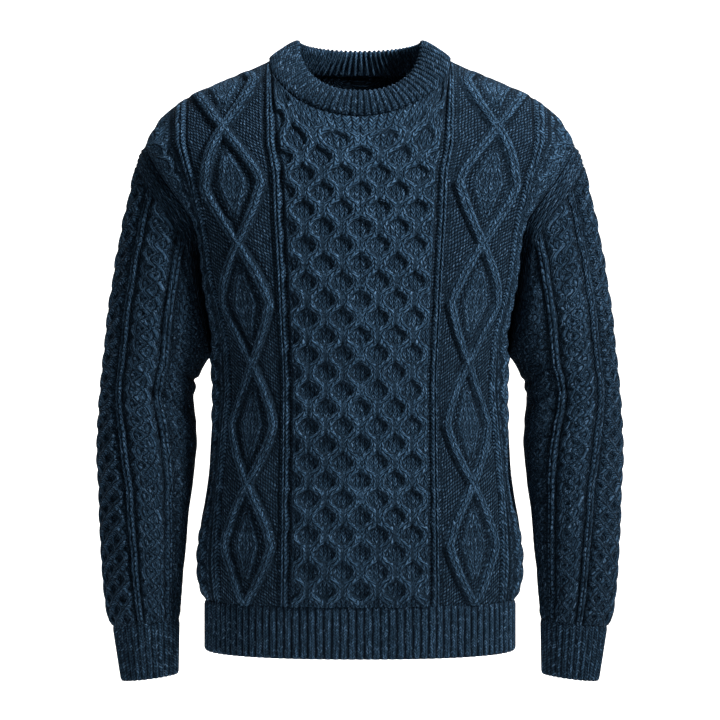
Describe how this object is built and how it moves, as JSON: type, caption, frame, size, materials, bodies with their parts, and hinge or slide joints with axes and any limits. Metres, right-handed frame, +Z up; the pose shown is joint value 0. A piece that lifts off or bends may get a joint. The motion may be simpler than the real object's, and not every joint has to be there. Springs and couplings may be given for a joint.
{
  "type": "aran sweater",
  "caption": "Long-sleeved crew-neck aran jumper in thick cabled knit, worn shape with open neck, hem and cuffs.",
  "frame": {"origin": "midway between the two shoulder seams, inside the neck opening, where the wearer's shoulders carry the garment", "axes": "+Z up, +Y towards the back, so the front faces -Y; +X to the right as the front is looked at"},
  "size_m": [0.615, 0.2586, 0.7468],
  "materials": {
    "panel_wool": "matte heathered navy wool, cabled",
    "sleeve_wool": "matte heathered navy wool, cabled",
    "rib_wool": "matte heathered navy wool, ribbed"
  },
  "bodies": {
    "root": {"front": "panel_wool", "back": "panel_wool", "sleeve_left": "sleeve_wool", "sleeve_right": "sleeve_wool", "hem_rib_front": "rib_wool", "hem_rib_back": "rib_wool", "cuff_left": "rib_wool", "cuff_right": "rib_wool", "neckband": "rib_wool"}
  },
  "joints": []
}
